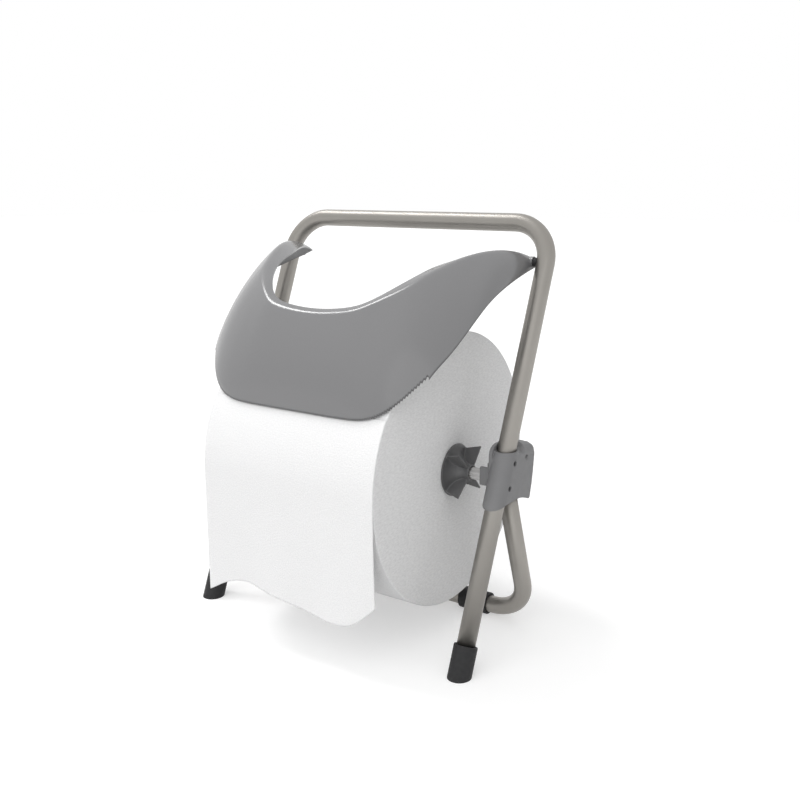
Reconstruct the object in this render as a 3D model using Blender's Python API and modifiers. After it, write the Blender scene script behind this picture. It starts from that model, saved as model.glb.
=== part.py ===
"""Tabletop stand for an industrial paper roll, with a hinged cover that has a toothed tear edge.

Two U-shaped tubes meet in a pair of moulded clamps. The clamps also carry the axle, which holds
the roll between two winged core plugs. The cover hangs from the front tube on two pins.
Metres, X to the right, Y to the back, Z up. The origin lies on the table, under the middle.
"""
import math

import bmesh
import bpy
import numpy as np
from mathutils import Matrix, Vector

# Driving dimensions in metres, heights and depths from the roll's axis
CLEARANCE = 0.0003
CUT_OVERRUN = 0.002

ROLL_RADIUS = 0.153
ROLL_ABOVE_TABLE = 0.040
ROLL_WIDTH = 0.231
ROLL_EDGE = 0.0010
CORE_RADIUS = 0.0275
CORE_WALL = 0.0025
SHEET_THICKNESS = 0.0004
SHEET_HANG = 0.140
SHEET_FOLD = 0.0035
SHEET_TUCK = math.radians(3)

TUBE_RADIUS = 0.010
TUBE_WALL = 0.0015
SIDE_SPACE = 0.0633
FRONT_LEAN = math.radians(21.6)
REAR_LEAN = math.radians(20.25)
FRONT_LEG_DEPTH = -0.0121
REAR_LEG_DEPTH = -0.0019
TOP_TUBE_ABOVE_PIVOT = 0.041
TOP_BEND_RADIUS = 0.046
CROSS_BEND_RADIUS = 0.047
FRONT_TUBE_ABOVE_TABLE = 0.007
REAR_TUBE_END = -0.0155

FOOT_WALL = 0.0027
SADDLE_SOLE = 0.0023
SADDLE_LENGTH = 0.037
SADDLE_TO_BEND = 0.0038
CAP_LENGTH = 0.026
CAP_WALL = 0.0025

BRACKET_BARREL_WALL = 0.0033
BRACKET_INNER_WALL = 0.0033
BRACKET_BARREL_TOP = 0.032
BARREL_FOOT_TILT = math.radians(17)
BRACKET_REACH = 0.040
BRACKET_HEIGHT = 0.029
BRACKET_CROWN = 0.0110
BRACKET_EDGE = 0.0015
BRACKET_SEAM = 0.0008
SHIELD_THICKNESS = 0.0045
SHIELD_FRONT = 0.0145
SHIELD_HEIGHT = 0.039
SCREW_RADIUS = 0.0015
SCREW_HEAD_RADIUS = 0.0026
SCREW_HEAD_HEIGHT = 0.0016
SCREW_HEAD_DEPTH = 0.0012
SCREW_TIP_WALL = 0.0010

AXLE_RADIUS = 0.0067
AXLE_GROOVE = 0.0007
AXLE_SPLINES = 10
JOURNAL_RADIUS = 0.0060
SOCKET_WIDTH = 0.0210
SOCKET_LENGTH = 0.0125
SOCKET_TOP = 0.012
SOCKET_BOTTOM = -0.0080

PLUG_FLANGE_RADIUS = 0.0295
PLUG_FLANGE = 0.0016
PLUG_SPIGOT_LENGTH = 0.035
PLUG_SPIGOT_WALL = 0.0027
PLUG_BOSS_RADIUS = 0.0090
PLUG_BOSS_LENGTH = 0.0200
PLUG_COLLAR = 0.0030
BLADES = 4
BLADE_THICKNESS = 0.0022
BLADE_LENGTH = 0.0172
BLADE_TIP_RADIUS = 0.0341

PIVOT_ABOVE_ROLL = 0.071
PIN_RADIUS = 0.0025
PIN_NOSE = 0.0005
PIN_ENGAGEMENT = 0.0029
PIN_REACH = 0.0050
BUSH_RADIUS = 0.0050
BUSH_LENGTH = 0.0034
EAR_RADIUS = 0.0062
EAR_THICKNESS = 0.0042

COVER_WALL = 0.0024
COVER_TIP_WALL_SHARE = 0.45
COVER_CREASE = 0.0060
TEAR_CLEARANCE = 0.0037
TEAR_ANGLE = math.radians(150.9)
TOOTH_PITCH = 0.0027
WING_TOOTH_PITCH = 0.0045
TOOTH_DEPTH_SHARE = 0.50
TOOTH_WIDTH_SHARE = 0.90
EVEN_TEETH_LENGTH = 0.075
TOOTHED_LENGTH = 0.170

TUBE_SIDES = 20
BEND_STEPS = 10
ROLL_SIDES = 90
ROUND_SIDES = 32
SMALL_SIDES = 12

# Places that follow from the driving dimensions
AXIS_HEIGHT = ROLL_RADIUS + ROLL_ABOVE_TABLE
PIVOT_HEIGHT = ROLL_RADIUS + PIVOT_ABOVE_ROLL
TOP_TUBE_HEIGHT = PIVOT_HEIGHT + TOP_TUBE_ABOVE_PIVOT
FRONT_TUBE_END = FRONT_TUBE_ABOVE_TABLE - AXIS_HEIGHT
ROLL_AXIS_DEPTH = (CLEARANCE + SHEET_THICKNESS) / 2
LEG_X = ROLL_WIDTH / 2 + SIDE_SPACE
BRACKET_FACE = LEG_X + TUBE_RADIUS + BRACKET_BARREL_WALL
BARREL_RADIUS = TUBE_RADIUS + BRACKET_BARREL_WALL
SHIELD_FACE = LEG_X - TUBE_RADIUS - CLEARANCE - BRACKET_INNER_WALL
SOCKET_FACE = SHIELD_FACE - SOCKET_LENGTH
EAR_FACE = LEG_X - TUBE_RADIUS - CLEARANCE - BUSH_LENGTH - CLEARANCE
SADDLE_RADIUS = TUBE_RADIUS + CLEARANCE + FOOT_WALL
CAP_RADIUS = TUBE_RADIUS + CLEARANCE + CAP_WALL
CROSS_TUBE_HEIGHT = TUBE_RADIUS + CLEARANCE + SADDLE_SOLE - AXIS_HEIGHT
FRONT_DIRECTION = Vector((0, math.sin(FRONT_LEAN), math.cos(FRONT_LEAN)))
REAR_DIRECTION = Vector((0, math.sin(REAR_LEAN), -math.cos(REAR_LEAN)))


def front_leg(height):
    """Depth of the front leg's axis at a height."""
    return FRONT_LEG_DEPTH + math.tan(FRONT_LEAN) * height


def rear_leg(height):
    """Depth of the rear leg's axis at a height."""
    return REAR_LEG_DEPTH - math.tan(REAR_LEAN) * height


PIVOT = Vector((0, front_leg(PIVOT_HEIGHT), PIVOT_HEIGHT))


# Scene, collections, empties and materials

for old in list(bpy.data.objects):
    bpy.data.objects.remove(old)

parts = bpy.data.collections.new("roll_dispenser")
cutters = bpy.data.collections.new("cutters")
bpy.context.scene.collection.children.link(parts)
bpy.context.scene.collection.children.link(cutters)


def empty(name, location, parent=None):
    """Adds an empty that carries pieces."""
    holder = bpy.data.objects.new(name, None)
    holder.location = location
    holder.parent = parent
    parts.objects.link(holder)
    return holder


stand = empty("stand", (0, ROLL_AXIS_DEPTH, AXIS_HEIGHT))
spindle_axis = empty("spindle_axis", (0, 0, 0), stand)
cover_hinge = empty("cover_hinge", PIVOT, stand)


def material(name, colour, roughness, metallic=0.0):
    """Makes a Principled material."""
    made = bpy.data.materials.new(name)
    made.use_nodes = True
    shader = made.node_tree.nodes["Principled BSDF"]
    shader.inputs["Base Color"].default_value = (*colour, 1.0)
    shader.inputs["Roughness"].default_value = roughness
    shader.inputs["Metallic"].default_value = metallic
    made.diffuse_color = (*colour, 1.0)
    return made


steel = material("satin_steel", (0.42, 0.40, 0.37), 0.38, 1.0)
axle_metal = material("axle_aluminium", (0.60, 0.59, 0.58), 0.40, 1.0)
cover_grey = material("cover_grey_plastic", (0.245, 0.245, 0.25), 0.36)
bracket_grey = material("bracket_grey_plastic", (0.17, 0.17, 0.175), 0.45)
plug_dark = material("plug_dark_plastic", (0.075, 0.075, 0.075), 0.50)
rubber = material("foot_rubber", (0.03, 0.03, 0.03), 0.70)
screw_steel = material("screw_dark_steel", (0.10, 0.10, 0.10), 0.40, 1.0)
paper = material("white_paper", (0.88, 0.88, 0.88), 0.90)
board = material("core_board", (0.45, 0.36, 0.25), 0.85)


# Tools shared by the sections below


def add_object(name, mesh, finish=None, parent=stand):
    """Adds a mesh as a part, or as a cutter where it has no finish."""
    made = bpy.data.objects.new(name, mesh)
    made.parent = parent
    if finish is None:
        cutters.objects.link(made)
        made.hide_render = True
        made.display_type = 'WIRE'
        return made
    parts.objects.link(made)
    mesh.materials.clear()
    mesh.materials.append(finish)
    return made


def smooth(target, angle=math.radians(30)):
    """Shades a mesh smooth with its sharp edges kept."""
    target.data.shade_smooth()
    target.data.set_sharp_from_angle(angle=angle)


def finished_mesh(source, name):
    """Mesh of an object as its modifiers leave it."""
    bpy.context.view_layer.update()
    evaluated = source.evaluated_get(bpy.context.evaluated_depsgraph_get())
    mesh = bpy.data.meshes.new_from_object(evaluated)
    mesh.name = name
    return mesh


def cut(target, cutter, operation='DIFFERENCE'):
    """Adds a Boolean modifier."""
    modifier = target.modifiers.new(operation.title() + " " + cutter.name, 'BOOLEAN')
    modifier.object = cutter
    modifier.operation = operation
    return modifier


def rod(name, start, end, radius, sides=ROUND_SIDES, finish=None, parent=stand):
    """Cylinder between two places, turned by its object."""
    start = Vector(start)
    axis = Vector(end) - start
    shape = bmesh.new()
    bmesh.ops.create_cone(shape, cap_ends=True, segments=sides, radius1=radius, radius2=radius,
                          depth=axis.length)
    mesh = bpy.data.meshes.new(name)
    shape.to_mesh(mesh)
    shape.free()
    made = add_object(name, mesh, finish, parent)
    made.location = start + axis / 2
    made.rotation_euler = axis.to_track_quat('Z', 'Y').to_euler()
    return made


def box(name, low, high, finish=None, parent=stand):
    """Block between two corners."""
    low = Vector(low)
    high = Vector(high)
    shape = bmesh.new()
    bmesh.ops.create_cube(shape, size=1)
    size = high - low
    bmesh.ops.scale(shape, vec=size, verts=shape.verts)
    mesh = bpy.data.meshes.new(name)
    shape.to_mesh(mesh)
    shape.free()
    made = add_object(name, mesh, finish, parent)
    made.location = low + size / 2
    return made


def loft(name, rings, finish=None, parent=stand):
    """Solid through rings of as many points each, capped at both ends."""
    shape = bmesh.new()
    rows = [[shape.verts.new(place) for place in ring] for ring in rings]
    for row, following in zip(rows, rows[1:]):
        for side in range(len(row)):
            beside = (side + 1) % len(row)
            shape.faces.new((row[side], row[beside], following[beside], following[side]))
    shape.faces.new(rows[0])
    shape.faces.new(rows[-1])
    bmesh.ops.recalc_face_normals(shape, faces=shape.faces)
    mesh = bpy.data.meshes.new(name)
    shape.to_mesh(mesh)
    shape.free()
    return add_object(name, mesh, finish, parent)


def turned(name, profile, sides, finish=None, parent=stand, closed=False):
    """Turned solid about X. The profile is radius and place along X, down the outer side."""
    shape = bmesh.new()
    places = [shape.verts.new((radius, 0, along)) for radius, along in profile]
    for first, second in zip(places, places[1:]):
        shape.edges.new((first, second))
    if closed:
        shape.edges.new((places[-1], places[0]))
    mesh = bpy.data.meshes.new(name)
    shape.to_mesh(mesh)
    shape.free()
    made = add_object(name, mesh, finish, parent)
    made.rotation_euler = (0, math.pi / 2, 0)
    screw = made.modifiers.new("Turn", 'SCREW')
    screw.steps = sides
    screw.render_steps = sides
    screw.use_merge_vertices = True
    screw.merge_threshold = CLEARANCE / 10
    return made


def mirrored(source, name, parent=stand):
    """Copy of a finished piece on the other side of the middle plane."""
    mesh = finished_mesh(source, name)
    turn = stand.matrix_world.inverted() @ source.matrix_world
    mesh.transform(Matrix.Scale(-1, 4, (1, 0, 0)) @ turn)
    mesh.flip_normals()
    return add_object(name, mesh, source.active_material, parent)


def spline(controls, steps, mirrored_start=False):
    """Points of a Catmull-Rom curve through the controls, so many steps to each stretch."""
    controls = np.array(controls, float)
    before = 2 * controls[0] - controls[1]
    if mirrored_start:
        before = controls[1] * np.array((-1, 1, 1))
    after = 2 * controls[-1] - controls[-2]
    line = np.vstack((before, controls, after))
    points = []
    for index in range(len(controls) - 1):
        first, second, third, fourth = line[index:index + 4]
        for step in range(steps):
            share = step / steps
            points.append(
                second + share * (third - first) / 2
                + share ** 2 * (2 * first - 5 * second + 4 * third - fourth) / 2
                + share ** 3 * (3 * second - first - 3 * third + fourth) / 2)
    points.append(controls[-1])
    return np.array(points)


# Frame tubes: two U-shaped steel tubes that cross at the clamps


def tube_route(leg_end, crossing, bend_radius):
    """Axis of a U in its own plane, from one leg's end over the crossing tube to the other's."""
    side = math.copysign(1, crossing)
    half = [(LEG_X, 0, leg_end)]
    for step in range(BEND_STEPS + 1):
        angle = step / BEND_STEPS * math.pi / 2
        half.append((LEG_X - bend_radius + bend_radius * math.cos(angle), 0,
                     crossing - side * bend_radius * (1 - math.sin(angle))))
    return half + [(-x, y, z) for x, y, z in reversed(half)]


def tube_mesh(name, route, radius, capped):
    """Mesh of round tube along a route, open or with its ends capped."""
    data = bpy.data.curves.new(name, 'CURVE')
    data.dimensions = '3D'
    data.bevel_depth = radius
    data.bevel_resolution = TUBE_SIDES // 4 - 1
    data.use_fill_caps = capped
    line = data.splines.new('POLY')
    line.points.add(len(route) - 1)
    for point, place in zip(line.points, route):
        point.co = (*place, 1)
    guide = bpy.data.objects.new(name + "_route", data)
    parts.objects.link(guide)
    mesh = finished_mesh(guide, name)
    bpy.data.objects.remove(guide)
    shape = bmesh.new()
    shape.from_mesh(mesh)
    bmesh.ops.remove_doubles(shape, verts=shape.verts, dist=CLEARANCE / 10)
    shape.to_mesh(mesh)
    shape.free()
    return mesh


def bent_tube(name, route, depth, lean):
    """Tube along its route, leaning by its object, with its wall on the inside."""
    tube = add_object(name, tube_mesh(name, route, TUBE_RADIUS, False), steel)
    tube.location = (0, depth, 0)
    tube.rotation_euler = (lean, 0, 0)
    wall = tube.modifiers.new("Tube wall", 'SOLIDIFY')
    wall.thickness = TUBE_WALL
    wall.offset = -1
    smooth(tube)
    return tube


front_route = tube_route(FRONT_TUBE_END / math.cos(FRONT_LEAN), TOP_TUBE_HEIGHT / math.cos(FRONT_LEAN),
                         TOP_BEND_RADIUS)
rear_route = tube_route(REAR_TUBE_END / math.cos(REAR_LEAN), CROSS_TUBE_HEIGHT / math.cos(REAR_LEAN),
                        CROSS_BEND_RADIUS)
front_tube = bent_tube("front_frame_tube", front_route, FRONT_LEG_DEPTH, -FRONT_LEAN)
rear_tube = bent_tube("rear_frame_tube", rear_route, REAR_LEG_DEPTH, REAR_LEAN)


# Front feet: caps on the ends of the front legs, cut level with the table

table = box("table_cut", (-LEG_X * 2, -LEG_X * 2, -AXIS_HEIGHT * 2), (LEG_X * 2, LEG_X * 2, -AXIS_HEIGHT))
tube_end = Vector((LEG_X, front_leg(FRONT_TUBE_END), FRONT_TUBE_END))
cap_mouth = tube_end + FRONT_DIRECTION * CAP_LENGTH
right_cap = rod("right_front_foot", tube_end - FRONT_DIRECTION * CAP_LENGTH / 2, cap_mouth, CAP_RADIUS,
                finish=rubber)
cut(right_cap, rod("cap_bore", tube_end - FRONT_DIRECTION * CLEARANCE,
                   cap_mouth + FRONT_DIRECTION * CUT_OVERRUN, TUBE_RADIUS + CLEARANCE))
cut(right_cap, table)
smooth(right_cap)
mirrored(right_cap, "left_front_foot")


# Rear feet: rubber saddles round the cross tube, each with a flat sole

saddle_half = SADDLE_LENGTH / 2
saddle_middle = LEG_X - CROSS_BEND_RADIUS - SADDLE_TO_BEND - saddle_half
saddle = turned("right_rear_foot", (
    (TUBE_RADIUS + CLEARANCE, saddle_half),
    (SADDLE_RADIUS - CLEARANCE, saddle_half),
    (SADDLE_RADIUS, saddle_half - CLEARANCE),
    (SADDLE_RADIUS, CLEARANCE - saddle_half),
    (SADDLE_RADIUS - CLEARANCE, -saddle_half),
    (TUBE_RADIUS + CLEARANCE, -saddle_half)), ROUND_SIDES, rubber, closed=True)
saddle.location = (saddle_middle, rear_leg(CROSS_TUBE_HEIGHT), CROSS_TUBE_HEIGHT)
cut(saddle, table)
smooth(saddle)
mirrored(saddle, "left_rear_foot")


# Clamps: an outer and an inner moulding that grip both tubes

bracket_rear_shares = ((0.875, 0.80), (1.0, 0.77), (0.97, 0.30), (0.90, -0.35), (0.80, -0.90), (0.74, -0.93),
                       (0.60, -0.86), (0.40, -0.77), (0.22, -0.72), (-0.05, -0.70), (-0.35, -0.72))
bracket_layer_shares = ((0.0, 0.97), (0.10, 1.0), (0.35, 0.93), (0.62, 0.72), (0.85, 0.36), (1.0, 0.0))
block_bottom = BRACKET_HEIGHT * bracket_rear_shares[-1][1]


def bracket_ring(x, crown):
    """Outline of the clamp's body in one plane across X, with its top raised by the crown."""
    ring = []
    for depth_share, height_share in bracket_rear_shares:
        raised = crown if height_share > bracket_rear_shares[2][1] else 0
        ring.append((x, BRACKET_REACH * depth_share, BRACKET_HEIGHT * height_share + raised))
    for height in (block_bottom, BRACKET_HEIGHT + crown):
        ring.append((x, front_leg(height) + BRACKET_SEAM, height))
    return ring


block_inner = SHIELD_FACE + BRACKET_EDGE
bracket_rings = []
for across_share, crown_share in bracket_layer_shares:
    layer_x = block_inner + (BRACKET_FACE - block_inner) * across_share
    bracket_rings.append(bracket_ring(layer_x, BRACKET_CROWN * crown_share))

shield_shares = ((-1.0, -0.13), (-1.0, 0.74), (-0.93, 0.84), (-0.74, 0.92), (-0.48, 0.97), (-0.16, 1.0),
                 (0.80, 0.99), (1.8, 0.96), (2.45, 0.91), (2.72, 0.83), (2.6, 0.2), (2.3, -0.62), (0.0, -0.5))


def shield_ring(x, inset):
    """Outline of the flat plate on the roll's side."""
    middle = SHIELD_FRONT
    return [(x, middle + (SHIELD_FRONT * depth_share - middle) * (1 - inset),
             SHIELD_HEIGHT * height_share * (1 - inset)) for depth_share, height_share in shield_shares]


shield_edge_share = 0.03
shield = loft("shield", (
    shield_ring(SHIELD_FACE, shield_edge_share),
    shield_ring(SHIELD_FACE + CLEARANCE * 3, 0),
    shield_ring(SHIELD_FACE + SHIELD_THICKNESS, 0)))
barrel_reach = BARREL_RADIUS * 3
barrel_foot = Vector((LEG_X, front_leg(block_bottom), block_bottom))
barrel_head = Vector((LEG_X, front_leg(BRACKET_BARREL_TOP), BRACKET_BARREL_TOP))
barrel = rod("barrel", barrel_foot - FRONT_DIRECTION * barrel_reach, barrel_head + FRONT_DIRECTION * barrel_reach,
             BARREL_RADIUS)
foot_drop = barrel_reach * math.tan(BARREL_FOOT_TILT)
barrel_outline = ((barrel_foot.y - barrel_reach, block_bottom - foot_drop),
                  (barrel_foot.y + barrel_reach, block_bottom + foot_drop),
                  (barrel_foot.y + barrel_reach, BRACKET_BARREL_TOP),
                  (barrel_foot.y - barrel_reach, BRACKET_BARREL_TOP))
cut(barrel, loft("barrel_ends", [[(LEG_X + side * barrel_reach, depth, height) for depth, height in barrel_outline]
                                 for side in (-1, 1)]), 'INTERSECT')
front_bore = rod("front_tube_bore", tube_end, (LEG_X, PIVOT.y, PIVOT.z), TUBE_RADIUS + CLEARANCE)
rear_bore = rod("rear_tube_bore",
                Vector((LEG_X, rear_leg(REAR_TUBE_END), REAR_TUBE_END)) - REAR_DIRECTION * CLEARANCE,
                (LEG_X, rear_leg(-SOCKET_WIDTH * 4), -SOCKET_WIDTH * 4), TUBE_RADIUS + CLEARANCE)
outside = box("outer_half", (LEG_X + CLEARANCE / 2, -LEG_X, -LEG_X), (LEG_X * 2, LEG_X, LEG_X))
inside = box("inner_half", (0, -LEG_X, -LEG_X), (LEG_X - CLEARANCE / 2, LEG_X, LEG_X))

screw_height_shares = (0.70, -0.17)
screw_places = [(front_leg(BRACKET_HEIGHT * share), BRACKET_HEIGHT * share) for share in screw_height_shares]
rear_screw_share = 0.535
screw_places.append((BRACKET_REACH * rear_screw_share, BRACKET_HEIGHT * screw_height_shares[0]))
screw_tip = SHIELD_FACE + SCREW_TIP_WALL + CLEARANCE
head_top = BRACKET_FACE - SCREW_HEAD_DEPTH
head_seat = head_top - SCREW_HEAD_HEIGHT


def bracket_half(name, half):
    """One moulding of the clamp: plate, shield and barrel, bored for tubes and screws."""
    piece = loft(name, bracket_rings, bracket_grey)
    cut(piece, barrel, 'UNION')
    cut(piece, shield, 'UNION')
    cut(piece, front_bore)
    cut(piece, rear_bore)
    for bore in screw_bores:
        cut(piece, bore)
    cut(piece, half, 'INTERSECT')
    return piece


screw_bores = []
for number, (depth, height) in enumerate(screw_places):
    hole = rod("screw_hole_%d" % number, (screw_tip - CLEARANCE, depth, height),
               (BRACKET_FACE + CUT_OVERRUN, depth, height), SCREW_RADIUS + CLEARANCE, SMALL_SIDES)
    recess = rod("screw_recess_%d" % number, (head_seat - CLEARANCE, depth, height),
                 (BRACKET_FACE + CUT_OVERRUN, depth, height), SCREW_HEAD_RADIUS + CLEARANCE, SMALL_SIDES)
    screw_bores += [hole, recess]
    if number < len(screw_height_shares):
        cut(front_tube, hole)
        cut(front_tube, rod("left_screw_hole_%d" % number, (-screw_tip, depth, height),
                            (-BRACKET_FACE, depth, height), SCREW_RADIUS + CLEARANCE, SMALL_SIDES))

right_outer = bracket_half("right_bracket_outer", outside)
right_inner = bracket_half("right_bracket_inner", inside)
cut(right_inner, box("socket_block", (SOCKET_FACE, -SOCKET_WIDTH / 2, SOCKET_BOTTOM),
                     (SHIELD_FACE + CUT_OVERRUN, SOCKET_WIDTH / 2, SOCKET_TOP)), 'UNION')
slot_radius = JOURNAL_RADIUS + CLEARANCE
cut(right_inner, rod("socket_bore", (SOCKET_FACE - CUT_OVERRUN, 0, 0), (SHIELD_FACE, 0, 0), slot_radius))
cut(right_inner, box("socket_slot", (SOCKET_FACE - CUT_OVERRUN, -slot_radius, 0),
                     (SHIELD_FACE, slot_radius, SOCKET_TOP + CUT_OVERRUN)))
for half_piece, left_name in ((right_outer, "left_bracket_outer"), (right_inner, "left_bracket_inner")):
    smooth(half_piece)
    mirrored(half_piece, left_name)


# Clamp screws: three to a side, two of them through the front leg

for number, (depth, height) in enumerate(screw_places, start=1):
    screw = turned("right_bracket_screw_%d" % number, (
        (0, head_top),
        (SCREW_HEAD_RADIUS, head_top),
        (SCREW_HEAD_RADIUS, head_seat),
        (SCREW_RADIUS, head_seat),
        (SCREW_RADIUS, screw_tip),
        (0, screw_tip)), SMALL_SIDES, screw_steel)
    screw.location = (0, depth, height)
    smooth(screw)
    mirrored(screw, "left_bracket_screw_%d" % number)


# Axle: a splined rod with plain journals that lie in the clamps' sockets

journal_start = SOCKET_FACE - CLEARANCE
axle_end = SHIELD_FACE - CLEARANCE


def axle_ring(x, radius, groove):
    """Ring round the axle: each spline has two points on its crest and two in its groove."""
    ring = []
    for corner in range(AXLE_SPLINES * 4):
        angle = 2 * math.pi * corner / (AXLE_SPLINES * 4)
        reach = radius - groove if corner % 4 < 2 else radius
        ring.append((x, reach * math.cos(angle), reach * math.sin(angle)))
    return ring


axle = loft("axle", (
    axle_ring(-axle_end, JOURNAL_RADIUS - AXLE_GROOVE, 0),
    axle_ring(AXLE_GROOVE - axle_end, JOURNAL_RADIUS, 0),
    axle_ring(-journal_start, JOURNAL_RADIUS, 0),
    axle_ring(CLEARANCE - journal_start, AXLE_RADIUS, AXLE_GROOVE),
    axle_ring(journal_start - CLEARANCE, AXLE_RADIUS, AXLE_GROOVE),
    axle_ring(journal_start, JOURNAL_RADIUS, 0),
    axle_ring(axle_end - AXLE_GROOVE, JOURNAL_RADIUS, 0),
    axle_ring(axle_end, JOURNAL_RADIUS - AXLE_GROOVE, 0)), axle_metal, spindle_axis)


# Core plugs: flange dished into a boss on the axle, spigot in the core, and blades to turn it by

roll_face = ROLL_WIDTH / 2
flange_inner = roll_face + CLEARANCE
flange_outer = flange_inner + PLUG_FLANGE
spigot_radius = CORE_RADIUS - CORE_WALL - CLEARANCE
spigot_end = roll_face - PLUG_SPIGOT_LENGTH
boss_end = flange_outer + PLUG_BOSS_LENGTH
boss_bore = AXLE_RADIUS + CLEARANCE
dish_steps = 6
dish_turns = [math.pi / 2 * step / dish_steps for step in range(dish_steps + 1)]
dish_start = boss_end - PLUG_COLLAR
right_plug = turned("right_core_plug", (
    (boss_bore, boss_end),
    (PLUG_BOSS_RADIUS, boss_end),
    *((PLUG_FLANGE_RADIUS - (PLUG_FLANGE_RADIUS - PLUG_BOSS_RADIUS) * math.cos(dish_turn),
       dish_start - (dish_start - flange_outer) * math.sin(dish_turn)) for dish_turn in dish_turns),
    (PLUG_FLANGE_RADIUS, flange_inner),
    (spigot_radius, flange_inner),
    (spigot_radius, spigot_end + PLUG_SPIGOT_WALL / 2),
    (spigot_radius - PLUG_SPIGOT_WALL / 2, spigot_end),
    (spigot_radius - PLUG_SPIGOT_WALL, spigot_end),
    (spigot_radius - PLUG_SPIGOT_WALL, flange_inner - PLUG_FLANGE),
    (PLUG_BOSS_RADIUS, flange_inner - PLUG_FLANGE),
    (PLUG_BOSS_RADIUS, spigot_end),
    (boss_bore, spigot_end)), ROUND_SIDES, plug_dark, spindle_axis, closed=True)
blade_root = (boss_bore + PLUG_BOSS_RADIUS) / 2
blade_base = flange_outer - PLUG_FLANGE / 2
blade_tip = flange_outer + BLADE_LENGTH
half_blade = BLADE_THICKNESS / 2
for number in range(BLADES):
    turn = Matrix.Rotation(2 * math.pi * (number + 1 / 2) / BLADES, 4, 'X')
    outline = ((blade_base, blade_root), (blade_base, PLUG_FLANGE_RADIUS - half_blade),
               (blade_tip, BLADE_TIP_RADIUS), (boss_end - half_blade, blade_root))
    blade = loft("blade_%d" % number, [
        [turn @ Vector((x, radius, half_blade * side)) for x, radius in outline] for side in (-1, 1)],
        parent=spindle_axis)
    cut(right_plug, blade, 'UNION')
smooth(right_plug)
mirrored(right_plug, "left_core_plug", spindle_axis)


# Cardboard core and wound paper

core = turned("cardboard_core", (
    (CORE_RADIUS - CORE_WALL, roll_face),
    (CORE_RADIUS, roll_face),
    (CORE_RADIUS, -roll_face),
    (CORE_RADIUS - CORE_WALL, -roll_face)), ROUND_SIDES, board, spindle_axis, closed=True)
smooth(core)
roll = turned("paper_roll", (
    (CORE_RADIUS + CLEARANCE, roll_face),
    (ROLL_RADIUS - ROLL_EDGE, roll_face),
    (ROLL_RADIUS, roll_face - ROLL_EDGE),
    (ROLL_RADIUS, ROLL_EDGE - roll_face),
    (ROLL_RADIUS - ROLL_EDGE, -roll_face),
    (CORE_RADIUS + CLEARANCE, -roll_face)), ROLL_SIDES, paper, spindle_axis, closed=True)
smooth(roll)


# Hanging sheet: leaves the roll under the cover and hangs with a wavy torn hem

hem_shares = (1.035, 0.925, 0.885, 0.915, 0.95, 0.98, 0.999, 0.965, 0.79)
fold_waves = 2.5
sheet_columns = 24
sheet_arc_rows = 6
sheet_drop_rows = 7
sheet_radius = ROLL_RADIUS + CLEARANCE + SHEET_THICKNESS
hem_line = spline([(share, 0, 0) for share in hem_shares], sheet_columns // (len(hem_shares) - 1))[:, 0]
sheet_shape = bmesh.new()
sheet_rows = []
for row in range(sheet_arc_rows):
    angle = (math.pi - TEAR_ANGLE + SHEET_TUCK) * (1 - row / sheet_arc_rows)
    sheet_rows.append([sheet_shape.verts.new((
        roll_face * (2 * column / sheet_columns - 1),
        -sheet_radius * math.cos(angle), sheet_radius * math.sin(angle)))
        for column in range(sheet_columns + 1)])
for row in range(sheet_drop_rows + 1):
    fall = row / sheet_drop_rows
    line = []
    for column in range(sheet_columns + 1):
        across = 2 * column / sheet_columns - 1
        fold = SHEET_FOLD * fall ** 2 * (1 - math.cos(fold_waves * math.pi * (across + 1))) / 2
        line.append(sheet_shape.verts.new((
            roll_face * across, fold - sheet_radius, -SHEET_HANG * hem_line[column] * fall)))
    sheet_rows.append(line)
for row, following in zip(sheet_rows, sheet_rows[1:]):
    for column in range(sheet_columns):
        sheet_shape.faces.new((row[column], following[column], following[column + 1], row[column + 1]))
sheet_mesh = bpy.data.meshes.new("hanging_sheet")
sheet_shape.to_mesh(sheet_mesh)
sheet_shape.free()
sheet = add_object("hanging_sheet", sheet_mesh, paper)
sheet_wall = sheet.modifiers.new("Paper", 'SOLIDIFY')
sheet_wall.thickness = SHEET_THICKNESS
sheet_wall.offset = -1
smooth(sheet)


# Cover: one moulding lofted between its lower edge, the crease of the rolled rim and the rim's back edge.
# The station tables are shares of the ear's distance from the middle (across) and of the roll's
# radius (depth and height), then fitted between the tear edge and the pivot.

edge_shares = ((0.0, -0.885, 0.502), (0.242, -0.885, 0.502), (0.42, -0.885, 0.504), (0.53, -0.881, 0.512),
               (0.625, -0.866, 0.542), (0.705, -0.832, 0.594), (0.775, -0.780, 0.666), (0.838, -0.710, 0.752),
               (0.900, -0.625, 0.840), (0.946, -0.515, 0.936), (0.980, -0.370, 1.066), (1.003, -0.175, 1.222),
               (1.003, 0.060, 1.316), (0.998, 0.300, 1.380), (0.996, 0.480, 1.420), (0.998, 0.585, 1.440))
crease_shares = ((0.0, -0.696, 1.158), (0.242, -0.686, 1.178), (0.36, -0.664, 1.207), (0.435, -0.612, 1.247),
                 (0.505, -0.555, 1.290), (0.565, -0.497, 1.328), (0.615, -0.440, 1.364), (0.665, -0.345, 1.420),
                 (0.712, -0.235, 1.470), (0.765, -0.110, 1.520), (0.818, 0.020, 1.556), (0.868, 0.150, 1.574),
                 (0.912, 0.285, 1.572), (0.945, 0.425, 1.550), (0.962, 0.535, 1.512), (0.972, 0.605, 1.480))
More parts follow.
